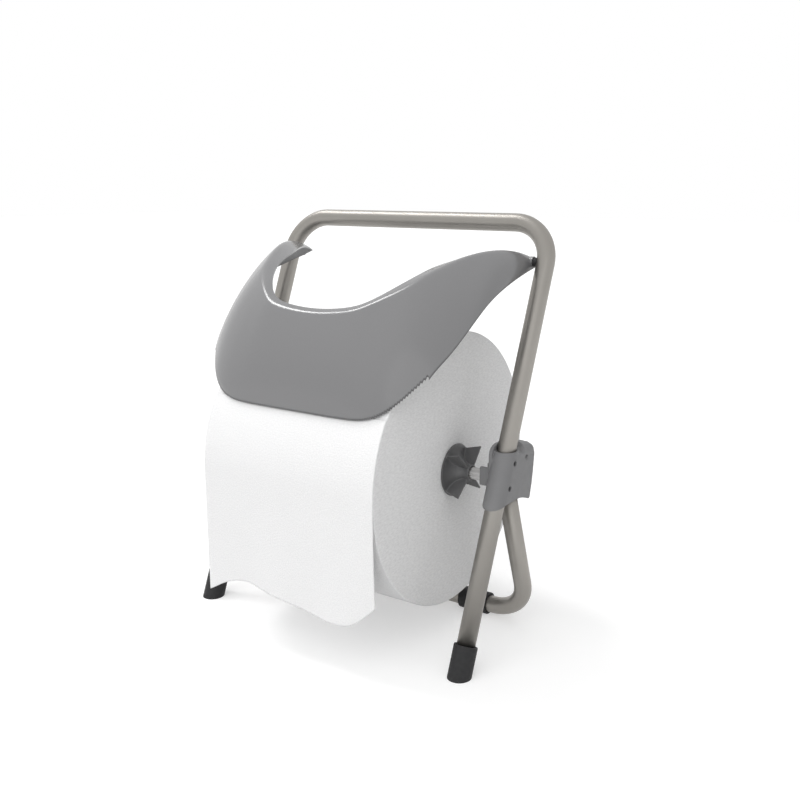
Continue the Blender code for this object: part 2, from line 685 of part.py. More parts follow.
rim_shares = ((0.0, -0.643, 1.174), (0.234, -0.640, 1.196), (0.345, -0.605, 1.226), (0.405, -0.560, 1.260),
              (0.460, -0.505, 1.300), (0.510, -0.440, 1.343), (0.550, -0.375, 1.380), (0.592, -0.285, 1.424),
              (0.622, -0.185, 1.460), (0.655, -0.055, 1.490), (0.705, 0.080, 1.512), (0.770, 0.215, 1.524),
              (0.840, 0.345, 1.520), (0.895, 0.460, 1.505), (0.930, 0.550, 1.482), (0.950, 0.600, 1.462))
bulge_shares = (0.052, 0.052, 0.053, 0.055, 0.058, 0.059, 0.058, 0.055, 0.048, 0.040, 0.034, 0.032, 0.028,
                0.022, 0.014, 0.008)
pivot_share = complex(0.505, 1.469)
tear_share = complex(edge_shares[0][1], edge_shares[0][2])
tear_radius = ROLL_RADIUS + TEAR_CLEARANCE
tear_point = complex(tear_radius * math.cos(TEAR_ANGLE), tear_radius * math.sin(TEAR_ANGLE))
pivot_point = complex(PIVOT.y, PIVOT.z)


def fitted(shares):
    """Places of a row of stations, with the share plane laid on the tear edge and the pivot."""
    places = []
    for across, depth, height in shares:
        along = (complex(depth, height) - tear_share) / (pivot_share - tear_share)
        place = tear_point + along * (pivot_point - tear_point)
        places.append((EAR_FACE * across, place.real, place.imag))
    return places


station_steps = 2
edge_line = spline(fitted(edge_shares), station_steps, mirrored_start=True)
crease_line = spline(fitted(crease_shares), station_steps, mirrored_start=True)
rim_line = spline(fitted(rim_shares), station_steps, mirrored_start=True)
bulge_line = spline([(share, 0, 0) for share in bulge_shares], station_steps)[:, 0] * ROLL_RADIUS
edge_line[0][0] = crease_line[0][0] = rim_line[0][0] = 0
edge_tangents = np.gradient(edge_line, axis=0)
edge_tangents[0] = (1, 0, 0)

wall_steps = 6
crease_steps = 3
rim_steps = 1


def unit(vector):
    """Vector of length one."""
    return vector / np.linalg.norm(vector)


def station_section(station):
    """Points of one section, from the lower edge over the crease to the rim."""
    edge = edge_line[station]
    crease = crease_line[station]
    rim = rim_line[station]
    chord = crease - edge
    outward = unit(np.cross(edge_tangents[station], chord))

    def wall(share):
        return edge + chord * share + outward * bulge_line[station] * 4 * share * (1 - share)

    rounding = min(COVER_CREASE, np.linalg.norm(rim - crease) / 2)
    wall_end = 1 - rounding / np.linalg.norm(chord)
    section = [wall(wall_end * step / wall_steps) for step in range(wall_steps + 1)]
    leaving = crease + unit(rim - crease) * rounding
    start = section[-1]
    for step in range(1, crease_steps + 1):
        share = step / crease_steps
        section.append(start * (1 - share) ** 2 + crease * 2 * share * (1 - share) + leaving * share ** 2)
    for step in range(1, rim_steps + 1):
        section.append(leaving + (rim - leaving) * step / rim_steps)
    return section


sections = [station_section(station) for station in range(len(edge_line))]
cover_shape = bmesh.new()
cover_rows = [[cover_shape.verts.new(Vector(point) - PIVOT) for point in section] for section in sections]
for row in cover_rows[:1]:
    for vert in row:
        vert.co.x = 0
for row, following in zip(cover_rows, cover_rows[1:]):
    for side in range(len(row) - 1):
        cover_shape.faces.new((row[side], following[side], following[side + 1], row[side + 1]))
cover_mesh = bpy.data.meshes.new("cover")
cover_shape.to_mesh(cover_mesh)
cover_shape.free()
cover = add_object("cover", cover_mesh, cover_grey, cover_hinge)
full_wall = cover.vertex_groups.new(name="full_wall")
tip_stations = station_steps * 4
for station in range(len(sections)):
    weight = min(1, (len(sections) - 1 - station) / tip_stations)
    first = station * len(sections[0])
    full_wall.add(list(range(first, first + len(sections[0]))), weight, 'REPLACE')
halves = cover.modifiers.new("Other half", 'MIRROR')
halves.merge_threshold = CLEARANCE / 10
cover_wall = cover.modifiers.new("Cover wall", 'SOLIDIFY')
cover_wall.thickness = COVER_WALL
cover_wall.offset = -1
cover_wall.vertex_group = full_wall.name
cover_wall.thickness_vertex_group = COVER_TIP_WALL_SHARE


# Ears: flat discs inside the horns, each with a blind hole that snaps over a pin

for side in (-1, 1):
    ear = rod("ear_%d" % side, (side * (EAR_FACE - EAR_THICKNESS), PIVOT.y, PIVOT.z),
              (side * EAR_FACE, PIVOT.y, PIVOT.z), EAR_RADIUS)
    cut(cover, ear, 'UNION')
for side in (-1, 1):
    pin_bore = rod("pin_bore_%d" % side, (side * (EAR_FACE - PIN_ENGAGEMENT - CLEARANCE), PIVOT.y, PIVOT.z),
                   (side * LEG_X, PIVOT.y, PIVOT.z), PIN_RADIUS + CLEARANCE, SMALL_SIDES)
    cut(cover, pin_bore)
    cut(front_tube, pin_bore)


# Tear teeth: notches through the wall, square to it, at a pitch that is even along the front and
# grows up the wings

tooth_shape = bmesh.new()
fine_edge = spline(fitted(edge_shares), station_steps * 8, mirrored_start=True)
steps_between = np.linalg.norm(np.diff(fine_edge, axis=0), axis=1)
lengths = np.concatenate(((0,), np.cumsum(steps_between)))
station_lengths = lengths[::8]
wall_directions = np.array([unit(section[1] - section[0]) for section in sections])
tooth_start = 0
while tooth_start < TOOTHED_LENGTH:
    up_wing = max(0, tooth_start - EVEN_TEETH_LENGTH) / (TOOTHED_LENGTH - EVEN_TEETH_LENGTH)
    pitch = TOOTH_PITCH + (WING_TOOTH_PITCH - TOOTH_PITCH) * up_wing ** 2
    half_tooth = pitch * TOOTH_WIDTH_SHARE / 2
    length = tooth_start + pitch / 2
    tooth_start += pitch
    centre = Vector([np.interp(length, lengths, fine_edge[:, axis]) for axis in range(3)])
    ahead = Vector([np.interp(length + half_tooth, lengths, fine_edge[:, axis]) for axis in range(3)])
    rise = Vector([np.interp(length, station_lengths, wall_directions[:, axis]) for axis in range(3)])
    tangent = (ahead - centre).normalized()
    outward = tangent.cross(rise).normalized()
    rise = outward.cross(tangent)
    for side in (-1, 1):
        rings = []
        for reach in (-COVER_WALL - CUT_OVERRUN / 2, CUT_OVERRUN):
            ring = []
            for along, up in ((-half_tooth, -CUT_OVERRUN), (half_tooth, -CUT_OVERRUN), (half_tooth, 0),
                              (0, pitch * TOOTH_DEPTH_SHARE), (-half_tooth, 0)):
                place = centre + tangent * along + rise * up + outward * reach
                ring.append(tooth_shape.verts.new((side * place.x, place.y, place.z)))
            rings.append(ring)
        first, second = rings
        for corner in range(len(first)):
            beside = (corner + 1) % len(first)
            tooth_shape.faces.new((first[corner], first[beside], second[beside], second[corner]))
        tooth_shape.faces.new(first)
        tooth_shape.faces.new(second)
bmesh.ops.recalc_face_normals(tooth_shape, faces=tooth_shape.faces)
tooth_mesh = bpy.data.meshes.new("tear_teeth")
tooth_shape.to_mesh(tooth_mesh)
tooth_shape.free()
cut(cover, add_object("tear_teeth", tooth_mesh))
smooth(cover)


# Pivot pins and the dark bushes between horn and leg

pin_start = EAR_FACE - PIN_ENGAGEMENT
right_pin = turned("right_pivot_pin", (
    (0, LEG_X - TUBE_RADIUS + PIN_REACH),
    (PIN_RADIUS, LEG_X - TUBE_RADIUS + PIN_REACH),
    (PIN_RADIUS, pin_start + PIN_NOSE),
    (PIN_RADIUS - PIN_NOSE, pin_start),
    (0, pin_start)), SMALL_SIDES, screw_steel)
right_pin.location = PIVOT
smooth(right_pin)
mirrored(right_pin, "left_pivot_pin")

right_bush = rod("right_pivot_bush", (EAR_FACE + CLEARANCE, PIVOT.y, PIVOT.z), (LEG_X, PIVOT.y, PIVOT.z),
                 BUSH_RADIUS, ROUND_SIDES, rubber)
cut(right_bush, rod("bush_bore", (EAR_FACE, PIVOT.y, PIVOT.z), (LEG_X * 2, PIVOT.y, PIVOT.z),
                    PIN_RADIUS + CLEARANCE, SMALL_SIDES))
tube_seat = add_object("tube_seat", tube_mesh("tube_seat", front_route, TUBE_RADIUS + CLEARANCE, True))
tube_seat.location = front_tube.location
tube_seat.rotation_euler = front_tube.rotation_euler
cut(right_bush, tube_seat)
smooth(right_bush)
mirrored(right_bush, "left_pivot_bush")
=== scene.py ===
"""Looks of a tabletop roll dispenser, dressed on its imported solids. Metres, Z up."""
import math

import bmesh
import bpy
import numpy as np
from mathutils import Matrix, Vector


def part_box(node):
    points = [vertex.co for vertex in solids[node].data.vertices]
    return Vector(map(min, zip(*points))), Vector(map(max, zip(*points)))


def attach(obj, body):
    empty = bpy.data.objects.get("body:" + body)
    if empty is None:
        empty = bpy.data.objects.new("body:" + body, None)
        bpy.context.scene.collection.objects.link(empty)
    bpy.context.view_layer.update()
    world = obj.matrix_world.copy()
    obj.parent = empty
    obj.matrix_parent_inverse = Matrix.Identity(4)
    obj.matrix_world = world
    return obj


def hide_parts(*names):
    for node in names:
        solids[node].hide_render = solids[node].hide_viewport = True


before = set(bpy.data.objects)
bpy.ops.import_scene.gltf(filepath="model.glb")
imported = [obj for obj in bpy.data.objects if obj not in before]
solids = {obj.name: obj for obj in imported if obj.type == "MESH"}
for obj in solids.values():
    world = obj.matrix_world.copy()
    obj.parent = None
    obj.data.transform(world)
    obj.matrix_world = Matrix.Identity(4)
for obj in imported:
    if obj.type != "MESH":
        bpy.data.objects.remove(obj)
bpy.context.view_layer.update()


# Frame tubes: two U shapes bent cold from 20 mm steel tube, with a satin finish under clear lacquer.
# The front one is the grip and the front legs, the rear one props it, and the clamps join them.

tube_radius = 0.010
tube_wall = 0.0015
tube_sides = 48
bend_steps = 16
leg_x = 0.1788
front_lean = math.radians(21.6)
front_depth = -0.0121
front_tube_end = -0.186
top_tube_height = 0.265
top_bend_radius = 0.046
rear_lean = math.radians(20.25)
rear_depth = -0.0019
rear_tube_end = -0.0155
cross_tube_height = -0.1804
cross_bend_radius = 0.047
roll_axis = (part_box("axle")[0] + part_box("axle")[1]) / 2
noise_low = 0.3
noise_high = 0.7
same_spot = 1e-6
same_middle = 1e-5


def new_finish(name, colour, roughness, metallic=0.0, gloss=0.5):
    """Principled material with its plain values on the shader's own sockets."""
    finish = bpy.data.materials.new(name)
    finish.use_nodes = True
    shader = finish.node_tree.nodes["Principled BSDF"]
    shader.inputs["Base Color"].default_value = (*colour, 1)
    shader.inputs["Roughness"].default_value = roughness
    shader.inputs["Metallic"].default_value = metallic
    shader.inputs["Specular IOR Level"].default_value = gloss
    return finish


def grain(finish, size, stretch=(1, 1, 1), detail=3, source="Object"):
    """Noise with grains of about that size in metres, stretched along some directions."""
    tree = finish.node_tree
    place = tree.nodes.new("ShaderNodeTexCoord")
    laid = tree.nodes.new("ShaderNodeMapping")
    laid.inputs["Scale"].default_value = [1 / (size * share) for share in stretch]
    noise = tree.nodes.new("ShaderNodeTexNoise")
    noise.inputs["Scale"].default_value = 1
    noise.inputs["Detail"].default_value = detail
    tree.links.new(place.outputs[source], laid.inputs["Vector"])
    tree.links.new(laid.outputs["Vector"], noise.inputs["Vector"])
    return noise.outputs["Fac"]


def relief(finish, pattern, depth):
    """Bump of that depth in metres, on top of what the finish has."""
    tree = finish.node_tree
    shader = tree.nodes["Principled BSDF"]
    bump = tree.nodes.new("ShaderNodeBump")
    bump.inputs["Distance"].default_value = depth
    tree.links.new(pattern, bump.inputs["Height"])
    if shader.inputs["Normal"].is_linked:
        tree.links.new(shader.inputs["Normal"].links[0].from_socket, bump.inputs["Normal"])
    tree.links.new(bump.outputs["Normal"], shader.inputs["Normal"])


def vary_roughness(finish, pattern, low, high):
    """Roughness that follows a pattern between two values."""
    tree = finish.node_tree
    spread = tree.nodes.new("ShaderNodeMapRange")
    spread.inputs["From Min"].default_value = noise_low
    spread.inputs["From Max"].default_value = noise_high
    spread.inputs["To Min"].default_value = low
    spread.inputs["To Max"].default_value = high
    tree.links.new(pattern, spread.inputs["Value"])
    tree.links.new(spread.outputs["Result"], tree.nodes["Principled BSDF"].inputs["Roughness"])


def vary_colour(finish, pattern, dark, light):
    """Colour that follows a pattern between two tones."""
    tree = finish.node_tree
    tones = tree.nodes.new("ShaderNodeValToRGB")
    tones.color_ramp.elements[0].position = noise_low
    tones.color_ramp.elements[0].color = (*dark, 1)
    tones.color_ramp.elements[1].position = noise_high
    tones.color_ramp.elements[1].color = (*light, 1)
    tree.links.new(pattern, tones.inputs["Fac"])
    tree.links.new(tones.outputs["Color"], tree.nodes["Principled BSDF"].inputs["Base Color"])


def placed(name, data):
    """New object in the scene, with that mesh, lamp or camera."""
    thing = bpy.data.objects.new(name, data)
    bpy.context.scene.collection.objects.link(thing)
    return thing


def fitted(name, shape, finish, slot, body, *stands_for, sharp=35):
    """Piece from a finished shape, on a body, in place of the solids that it stands for."""
    mesh = bpy.data.meshes.new(name)
    shape.to_mesh(mesh)
    shape.free()
    mesh.materials.append(finish)
    mesh.shade_smooth()
    mesh.set_sharp_from_angle(angle=math.radians(sharp))
    piece = placed(name, mesh)
    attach(piece, body)
    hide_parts(*stands_for)
    return piece


def everything(shape):
    """All vertices, edges and faces of a shape."""
    return shape.verts[:] + shape.edges[:] + shape.faces[:]


def vertices_in(items):
    """The vertices among what an operator returns."""
    return [item for item in items if isinstance(item, bmesh.types.BMVert)]


def edges_in(items):
    """The edges among what an operator returns."""
    return [item for item in items if isinstance(item, bmesh.types.BMEdge)]


def drawn(shape, loop, move):
    """Loop of edges drawn out by a vector. Returns the loop at the far end."""
    grown = bmesh.ops.extrude_edge_only(shape, edges=loop)["geom"]
    ends = vertices_in(grown)
    bmesh.ops.translate(shape, verts=ends, vec=move)
    return [edge for edge in edges_in(grown) if edge.verts[0] in ends and edge.verts[1] in ends]


def lay_tube_uvs(shape, leg_end, bend_radius, bend_start, side):
    """UV map in metres: round the tube and along it, from the leg's end to the middle."""
    uvs = shape.loops.layers.uv.new("tube")
    straight = abs(bend_start - leg_end)
    bend_x = leg_x - bend_radius
    for face in shape.faces:
        places = []
        for corner in face.loops:
            x, y, z = abs(corner.vert.co.x), corner.vert.co.y, corner.vert.co.z
            past_bend = side * (z - bend_start)
            if past_bend <= 0:
                places.append((math.atan2(y, x - leg_x), abs(z - leg_end)))
            elif x > bend_x:
                turn = math.atan2(past_bend, x - bend_x)
                reach = math.hypot(past_bend, x - bend_x) - bend_radius
                places.append((math.atan2(y, reach), straight + bend_radius * turn))
            else:
                along = straight + bend_radius * math.pi / 2 + bend_x - x
                places.append((math.atan2(y, past_bend - bend_radius), along))
        wraps = max(place[0] for place in places) - min(place[0] for place in places) > math.pi
        for corner, (turn, along) in zip(face.loops, places):
            turn += 2 * math.pi if wraps and turn < 0 else 0
            corner[uvs].uv = (turn * tube_radius, along)


def bent_tube(name, leg_end, crossing, bend_radius, depth, lean):
    """U of tube: a ring drawn along one leg, spun round the bend, drawn to the middle and mirrored.

    The leg's end and the crossing are heights from the roll's axis.
    """
    leg_end, crossing = leg_end / math.cos(lean), crossing / math.cos(lean)
    side = math.copysign(1, crossing)
    bend_start = crossing - side * bend_radius
    shape = bmesh.new()
    bmesh.ops.create_circle(shape, segments=tube_sides, radius=tube_radius,
                            matrix=Matrix.Translation((leg_x, 0, leg_end)))
    loop = drawn(shape, shape.edges[:], (0, 0, bend_start - leg_end))
    bend = bmesh.ops.spin(shape, geom=loop, cent=(leg_x - bend_radius, 0, bend_start), axis=(0, -side, 0),
                          angle=math.pi / 2, steps=bend_steps)
    drawn(shape, edges_in(bend["geom_last"]), (bend_radius - leg_x, 0, 0))
    bmesh.ops.mirror(shape, geom=everything(shape), axis='X', merge_dist=same_middle)
    bmesh.ops.remove_doubles(shape, verts=shape.verts, dist=same_middle)
    bmesh.ops.recalc_face_normals(shape, faces=shape.faces)
    lay_tube_uvs(shape, leg_end, bend_radius, bend_start, side)
    shape.transform(Matrix.Translation((0, roll_axis.y + depth, roll_axis.z))
                    @ Matrix.Rotation(lean, 4, 'X'))
    tube = fitted(name, shape, satin_steel, "satin_steel", "stand", name.replace("tube", "frame_tube"))
    wall = tube.modifiers.new("Tube wall", 'SOLIDIFY')
    wall.thickness = tube_wall
    wall.offset = -1
    return tube


satin_steel = new_finish("satin_steel", (0.325, 0.31, 0.288), 0.42, 1.0)
drawn_lines = grain(satin_steel, 0.0004, (1, 160, 1), 2, "UV")
vary_roughness(satin_steel, drawn_lines, 0.37, 0.47)
relief(satin_steel, drawn_lines, 0.000012)
vary_colour(satin_steel, grain(satin_steel, 0.05, detail=4), (0.315, 0.30, 0.278), (0.335, 0.32, 0.298))
bent_tube("front_tube", front_tube_end, top_tube_height, top_bend_radius, front_depth, -front_lean)
bent_tube("rear_tube", rear_tube_end, cross_tube_height, cross_bend_radius, rear_depth, rear_lean)


# Feet: black rubber. Push-on caps close the front legs, cut level with the table, and two split
# saddles are pressed on the rear tube, with a narrow flat sole under each.

foot_bore = 0.0103
foot_sides = 48
cap_radius = 0.0128
cap_below = 0.013
cap_mouth = 0.026
cap_seat = -0.0003
cap_edge = 0.0007
saddle_radius = 0.0130
saddle_half = 0.0185
saddle_edge = 0.0006
black_rubber = new_finish("black_rubber", (0.022, 0.022, 0.023), 0.62, gloss=0.35)
relief(black_rubber, grain(black_rubber, 0.0006), 0.00003)
vary_roughness(black_rubber, grain(black_rubber, 0.004), 0.55, 0.72)


def lathed(profile, steps, closed=True):
    """Shape turned about Z from radii and heights, as a closed ring or from pole to pole."""
    shape = bmesh.new()
    corners = [shape.verts.new((radius, 0, height)) for radius, height in profile]
    edges = [shape.edges.new(pair) for pair in zip(corners, corners[1:])]
    if closed:
        edges.append(shape.edges.new((corners[-1], corners[0])))
    bmesh.ops.spin(shape, geom=corners + edges, cent=(0, 0, 0), axis=(0, 0, 1), angle=2 * math.pi,
                   steps=steps, use_merge=True)
    bmesh.ops.remove_doubles(shape, verts=shape.verts, dist=same_spot)
    bmesh.ops.recalc_face_normals(shape, faces=shape.faces)
    return shape


def rounded(shape, radius, segments=2, angle=40):
    """Rounds the shape's sharp edges."""
    sharp = [edge for edge in shape.edges
             if edge.is_manifold and edge.calc_face_angle() > math.radians(angle)]
    bmesh.ops.bevel(shape, geom=sharp, offset=radius, offset_type='OFFSET', segments=segments, profile=0.5,
                    affect='EDGES', clamp_overlap=True, material=-1)


def cut_flat(shape, place, outward):
    """Cuts off what is past a plane and closes the cut with a flat face."""
    cut = bmesh.ops.bisect_plane(shape, geom=everything(shape), dist=same_spot, plane_co=place,
                                 plane_no=outward, clear_outer=True)
    bmesh.ops.triangle_fill(shape, use_beauty=True, edges=edges_in(cut["geom_cut"]), normal=outward)


for side, name in ((1, "right"), (-1, "left")):
    cap = lathed(((0, -cap_below), (cap_radius, -cap_below), (cap_radius, cap_mouth),
                  (foot_bore, cap_mouth), (foot_bore, cap_seat), (0, cap_seat)), foot_sides, closed=False)
    rounded(cap, cap_edge, 3)
    end_depth = front_depth + math.tan(front_lean) * front_tube_end
    cap.transform(Matrix.Translation(roll_axis + Vector((side * leg_x, end_depth, front_tube_end)))
                  @ Matrix.Rotation(-front_lean, 4, 'X'))
    cut_flat(cap, (0, 0, 0), (0, 0, -1))
    fitted(name + "_foot_cap", cap, black_rubber, "foot_rubber", "stand", name + "_front_foot")
for name in ("right", "left"):
    low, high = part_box(name + "_rear_foot")
    middle = (low + high) / 2
    saddle = lathed(((foot_bore, -saddle_half), (saddle_radius, -saddle_half),
                     (saddle_radius, saddle_half), (foot_bore, saddle_half)), foot_sides)
    rounded(saddle, saddle_edge, 3)
    saddle.transform(Matrix.Translation((middle.x, middle.y, high.z - saddle_radius))
                     @ Matrix.Rotation(math.pi / 2, 4, 'Y'))
    cut_flat(saddle, (0, 0, 0), (0, 0, -1))
    fitted(name + "_foot_saddle", saddle, black_rubber, "foot_rubber", "stand", name + "_rear_foot")


# Clamps: two mouldings to a side in grey ABS, an outer and an inner, that close round both tubes and
# hold the axle's end. Every outer edge is soft, and the halves meet so closely that no joint shows.

barrel_radius = 0.0133
block_inner = 0.1670
block_outer = 0.1921
joint_reach = 0.0002
joint_margin = 0.004
clamp_fineness = 0.0005
clamp_passes = 5
crown_places = (0, 0.29, 0.5, 0.7, 0.85, 0.94, 1.0)
crown_lifts = (0, 0.0016, 0.0028, 0.0047, 0.0054, 0.0052, 0.0011)
crown_foot = 0.006
crown_rise = 0.018
crown_run = 0.006
moulded_grey = new_finish("moulded_grey", (0.19, 0.19, 0.194), 0.5)
relief(moulded_grey, grain(moulded_grey, 0.00045, detail=2), 0.000018)
vary_roughness(moulded_grey, grain(moulded_grey, 0.006), 0.44, 0.54)
vary_colour(moulded_grey, grain(moulded_grey, 0.02), (0.185, 0.185, 0.189), (0.195, 0.195, 0.199))


def moulded(shape, fineness, passes):
    """The shape as one closed skin with its edges and inner corners rounded."""
    mesh = bpy.data.meshes.new("rough")
    shape.to_mesh(mesh)
    shape.free()
    rough = placed("rough", mesh)
    fine = rough.modifiers.new("Fine mesh", 'REMESH')
    fine.mode = 'VOXEL'
    fine.voxel_size = fineness
    soft = rough.modifiers.new("Soft edges", 'SMOOTH')
    soft.factor = 0.5
    soft.iterations = passes
    bpy.context.view_layer.update()
    skin = bmesh.new()
    skin.from_object(rough, bpy.context.evaluated_depsgraph_get())
    bpy.data.objects.remove(rough)
    return skin


def crown_lift(place):
    """How far the crown at the back of a clamp's top is raised over a place on the solid."""
    height = place.z - roll_axis.z
    behind = place.y - roll_axis.y - front_depth - math.tan(front_lean) * height - barrel_radius
    across = (abs(place.x) - block_inner) / (block_outer - block_inner)
    lift = float(np.interp(across, crown_places, crown_lifts))
    return lift * min(1, max(0, behind / crown_run)) * min(1, max(0, (height - crown_foot) / crown_rise))


def moulded_half(name):
    """A clamp half with soft edges. It is drawn out past its joint first and cut there after."""
    shape = bmesh.new()
    shape.from_mesh(solids[name].data)
    bmesh.ops.remove_doubles(shape, verts=shape.verts, dist=same_spot)
    low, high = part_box(name)
    outer = abs(low.x + high.x) / 2 > leg_x
    side = math.copysign(1, low.x)
    joint_x = side * leg_x
    past = side * (-joint_margin if outer else joint_margin)
    joint_faces = [face for face in shape.faces
                   if all(abs(vert.co.x - joint_x) < joint_reach for vert in face.verts)]
    grown = bmesh.ops.extrude_face_region(shape, geom=joint_faces)["geom"]
    bmesh.ops.translate(shape, verts=vertices_in(grown), vec=(past, 0, 0))
    shape = moulded(shape, clamp_fineness, clamp_passes)
    for vert in shape.verts:
        vert.co.z += crown_lift(vert.co)
    cut_flat(shape, (joint_x, 0, 0), (past, 0, 0))
    return shape


for side in ("right", "left"):
    for half in ("outer", "inner"):
        solid = "%s_bracket_%s" % (side, half)
        fitted("%s_clamp_%s" % (side, half), moulded_half(solid), moulded_grey, "bracket_grey_plastic",
               "stand", solid)


# Clamp screws: steel socket screws, blackened, three to a side. They are sunk in round pockets of
# the outer half and draw the inner one to it.

blackened = new_finish("blackened_steel", (0.05, 0.05, 0.052), 0.42, 0.3)
relief(blackened, grain(blackened, 0.0005), 0.00001)
vary_roughness(blackened, grain(blackened, 0.002), 0.36, 0.5)
screw_radius = 0.0015
head_radius = 0.0026
head_height = 0.0016
socket_radius = 0.0013
socket_depth = 0.0009
screw_edge = 0.0002
for side in ("right", "left"):
    for number in (1, 2, 3):
        solid = "%s_bracket_screw_%d" % (side, number)
        low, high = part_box(solid)
        middle = (low + high) / 2
        length = high.x - low.x
        screw = bmesh.new()
        bmesh.ops.create_circle(screw, segments=24, radius=head_radius)
        outline = screw.edges[:]
        bmesh.ops.create_circle(screw, segments=6, radius=socket_radius)
        socket = [edge for edge in screw.edges if edge not in outline]
        bmesh.ops.bridge_loops(screw, edges=outline + socket)
        floor_loop = drawn(screw, socket, (0, 0, -socket_depth))
        bmesh.ops.contextual_create(screw, geom=floor_loop)
        neck = drawn(screw, outline, (0, 0, -head_height))
        shoulder = drawn(screw, neck, (0, 0, 0))
        shank = list({vert for edge in shoulder for vert in edge.verts})
        slimmer = screw_radius / head_radius
        bmesh.ops.scale(screw, verts=shank, vec=(slimmer, slimmer, 1))
        tip = drawn(screw, shoulder, (0, 0, head_height - length))
        bmesh.ops.contextual_create(screw, geom=tip)
        bmesh.ops.recalc_face_normals(screw, faces=screw.faces)
        rounded(screw, screw_edge, 2)
        outward = 1 if side == "right" else -1
        screw.transform(Matrix.Translation((high.x if outward > 0 else low.x, middle.y, middle.z))
                        @ Matrix.Rotation(outward * math.pi / 2, 4, 'Y'))
        fitted("%s_clamp_screw_%d" % (side, number), screw, blackened, "screw_dark_steel", "stand", solid)


# Axle: aluminium rod, drawn with ten splines along it. Its ends are turned down to plain journals
# that lie in the clamps' open saddles.

satin_aluminium = new_finish("satin_aluminium", (0.66, 0.65, 0.645), 0.36, 1.0)
relief(satin_aluminium, grain(satin_aluminium, 0.0003, (60, 1, 1), 2), 0.00001)
vary_roughness(satin_aluminium, grain(satin_aluminium, 0.003, (8, 1, 1)), 0.3, 0.42)
axle_radius = 0.0067
journal_radius = 0.0060
groove_depth = 0.0007
splines = 10
spline_crispness = 6
axle_sides = 160
axle_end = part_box("axle")[1].x
end_radius = 0.0053
end_chamfer = 0.0007
journal_start = 0.1524
spline_runout = 0.0003
spline_start = journal_start - spline_runout
axle_stations = ((-axle_end, end_radius, 0), (-axle_end + end_chamfer, journal_radius, 0),
                 (-journal_start, journal_radius, 0), (-spline_start, axle_radius, groove_depth),
                 (spline_start, axle_radius, groove_depth), (journal_start, journal_radius, 0),
                 (axle_end - end_chamfer, journal_radius, 0), (axle_end, end_radius, 0))
axle = bmesh.new()
bmesh.ops.create_circle(axle, segments=axle_sides, radius=journal_radius,
                        matrix=Matrix.Translation((-axle_end, 0, 0)) @ Matrix.Rotation(math.pi / 2, 4, 'Y'))
loop = axle.edges[:]
first_loop = loop
for index, (x, radius, groove) in enumerate(axle_stations):
    if index:
        loop = drawn(axle, loop, (x - axle_stations[index - 1][0], 0, 0))
    for vert in {vert for edge in loop for vert in edge.verts}:
        turn = math.atan2(vert.co.z, vert.co.y)
        crest = 1 / (1 + math.exp(-spline_crispness * math.cos(splines * turn)))
        reach = radius - groove * (1 - crest)
        vert.co.y, vert.co.z = reach * math.cos(turn), reach * math.sin(turn)
bmesh.ops.contextual_create(axle, geom=first_loop)
bmesh.ops.contextual_create(axle, geom=loop)
bmesh.ops.recalc_face_normals(axle, faces=axle.faces)
axle.transform(Matrix.Translation(roll_axis))
fitted("splined_axle", axle, satin_aluminium, "axle_aluminium", "spindle", "axle")


# Core plugs: dark grey polypropylene mouldings with a spigot that fills the core and a flange against
# the roll, dished into a boss on the axle. Four blades across the dish are there to turn them by.

plug_dark = new_finish("plug_dark", (0.105, 0.105, 0.107), 0.42)
relief(plug_dark, grain(plug_dark, 0.0006, detail=2), 0.000015)
vary_roughness(plug_dark, grain(plug_dark, 0.005), 0.38, 0.5)
vary_colour(plug_dark, grain(plug_dark, 0.012), (0.10, 0.10, 0.102), (0.11, 0.11, 0.112))
plug_bore = 0.0070
boss_radius = 0.0090
flange_radius = 0.0295
flange_inner = 0.1158
flange_outer = 0.1174
boss_end = 0.1374
dish_start = boss_end - 0.0030
spigot_end = 0.0805
spigot_radius = 0.0247
spigot_wall = 0.0027
web_inner = flange_inner - 0.0016
blade_tip = flange_outer + 0.0172
blade_tip_radius = 0.0341
blade_root = 0.0080
blade_foot = flange_outer - 0.0008
blade_half = 0.0011
plug_sides = 96
plug_fineness = 0.0006
plug_passes = 4
dish = [(flange_radius - (flange_radius - boss_radius) * math.cos(turn),
         dish_start - (dish_start - flange_outer) * math.sin(turn))
        for turn in np.linspace(0, math.pi / 2, 13)]
for side, name in ((1, "right"), (-1, "left")):
    plug = lathed([(plug_bore, boss_end), (boss_radius, boss_end)] + dish
                  + [(flange_radius, flange_inner), (spigot_radius, flange_inner),
                     (spigot_radius, spigot_end), (spigot_radius - spigot_wall, spigot_end),
                     (spigot_radius - spigot_wall, web_inner), (boss_radius, web_inner),
                     (boss_radius, spigot_end), (plug_bore, spigot_end)], plug_sides)
    for quarter in range(4):
        corners = [plug.verts.new((radius, -blade_half, height)) for radius, height in (
            (blade_root, blade_foot), (flange_radius - blade_half, blade_foot),
            (blade_tip_radius, blade_tip), (blade_root, boss_end - blade_half))]
        blade_face = plug.faces.new(corners)
        grown = bmesh.ops.extrude_face_region(plug, geom=[blade_face], use_keep_orig=True)["geom"]
        far_side = vertices_in(grown)
        bmesh.ops.translate(plug, verts=far_side, vec=(0, 2 * blade_half, 0))
        blade = corners + far_side
        blade_faces = list({face for vert in blade for face in vert.link_faces})
        bmesh.ops.recalc_face_normals(plug, faces=blade_faces)
        bmesh.ops.rotate(plug, verts=blade, cent=(0, 0, 0),
                         matrix=Matrix.Rotation((quarter + 0.5) * math.pi / 2, 3, 'Z'))
    plug.transform(Matrix.Translation(roll_axis) @ Matrix.Rotation(side * math.pi / 2, 4, 'Y'))
    fitted(name + "_winged_plug", moulded(plug, plug_fineness, plug_passes), plug_dark,
           "plug_dark_plastic", name + "_plug", name + "_core_plug")


